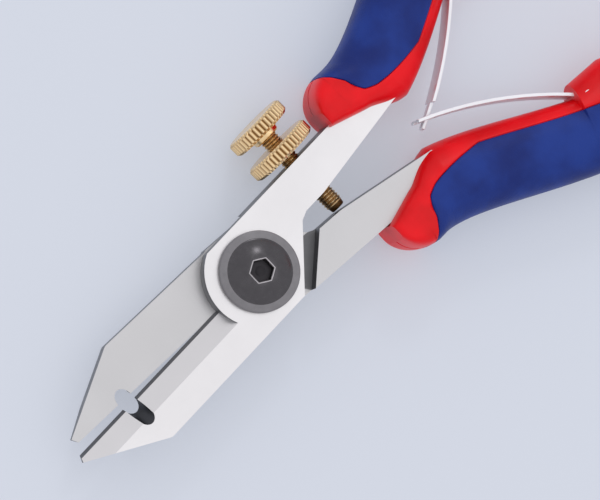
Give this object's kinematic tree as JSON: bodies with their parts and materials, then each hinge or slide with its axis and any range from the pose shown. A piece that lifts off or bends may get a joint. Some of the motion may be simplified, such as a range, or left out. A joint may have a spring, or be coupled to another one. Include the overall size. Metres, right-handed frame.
{
  "type": "wire stripper",
  "caption": "Scissor-type wire stripping shears with a notched lap-jointed steel blade pair, adjustable stop screw, leaf opening spring and two-colour grips.",
  "frame": {"origin": "pivot axis, in the plane that the tool rests on, under the pivot nut", "axes": "+X along the tool from the pivot to the handles, with the jaw tips at -X; +Z out of the front face along the pivot; +Y to the front half's handle"},
  "size_m": [0.1283, 0.0596, 0.011],
  "materials": {
    "polished_steel": "polished front faces, fine ground bevels",
    "ground_steel": "satin, fine parallel grinding marks",
    "black_steel": "black oxide, satin",
    "brass": "bright turned and knurled brass",
    "spring_steel": "bright rolled strip",
    "red_plastic": "hard moulded plastic, slight sheen",
    "blue_soft_plastic": "soft moulded plastic, fine grain"
  },
  "bodies": {
    "rear_handle": {"rear_half": "ground_steel", "rear_grip_core": "red_plastic", "rear_grip_cover": "blue_soft_plastic", "rear_leaf_pin": "spring_steel", "pivot_screw": "black_steel", "pivot_washer": "black_steel", "pivot_nut": "black_steel"},
    "front_handle": {"front_half": "polished_steel", "front_grip_core": "red_plastic", "front_grip_cover": "blue_soft_plastic", "front_leaf_pin": "spring_steel"},
    "stop_stud": {"stop_screw_stud": "brass"},
    "stop_knob": {"stop_screw_knob": "brass"},
    "lock_nut": {"lock_nut": "brass"},
    "front_leaf": {"front_leaf": "spring_steel"},
    "rear_leaf": {"rear_leaf": "spring_steel"}
  },
  "joints": [
    {"name": "jaw_pivot", "type": "hinge", "parent": "rear_handle", "child": "front_handle", "pos_m": [0, 0, 0.0055], "axis": [0, 0, 1], "range_deg": [0, 12]},
    {"name": "front_leaf_flex", "type": "hinge", "parent": "front_handle", "child": "front_leaf", "pos_m": [0.05386, 0.0146, 0.0055], "axis": [0, 0, 1], "range_deg": [0, 12]},
    {"name": "rear_leaf_flex", "type": "hinge", "parent": "rear_handle", "child": "rear_leaf", "pos_m": [0.05386, -0.0146, 0.0055], "axis": [0, 0, 1], "range_deg": [-12, 0]},
    {"name": "stop_screw_travel", "type": "slide", "parent": "front_handle", "child": "stop_stud", "axis": [-0.048, 0.9988, 0], "range_m": [0, 0.002]},
    {"name": "stop_screw_turn", "type": "hinge", "parent": "stop_stud", "child": "stop_knob", "pos_m": [0.01491, 0.01478, 0.0055], "axis": [-0.048, 0.9988, 0], "range_deg": [0, 1440]},
    {"name": "lock_nut_travel", "type": "slide", "parent": "stop_stud", "child": "lock_nut", "axis": [-0.048, 0.9988, 0], "range_m": [-0.00115, 0.0013]}
  ],
  "couplings": [
    {"joint": "front_leaf_flex", "follows": "jaw_pivot", "ratio": 0.93},
    {"joint": "rear_leaf_flex", "follows": "jaw_pivot", "ratio": -0.93},
    {"joint": "stop_screw_turn", "follows": "stop_screw_travel", "rad_per_m": 12566}
  ]
}
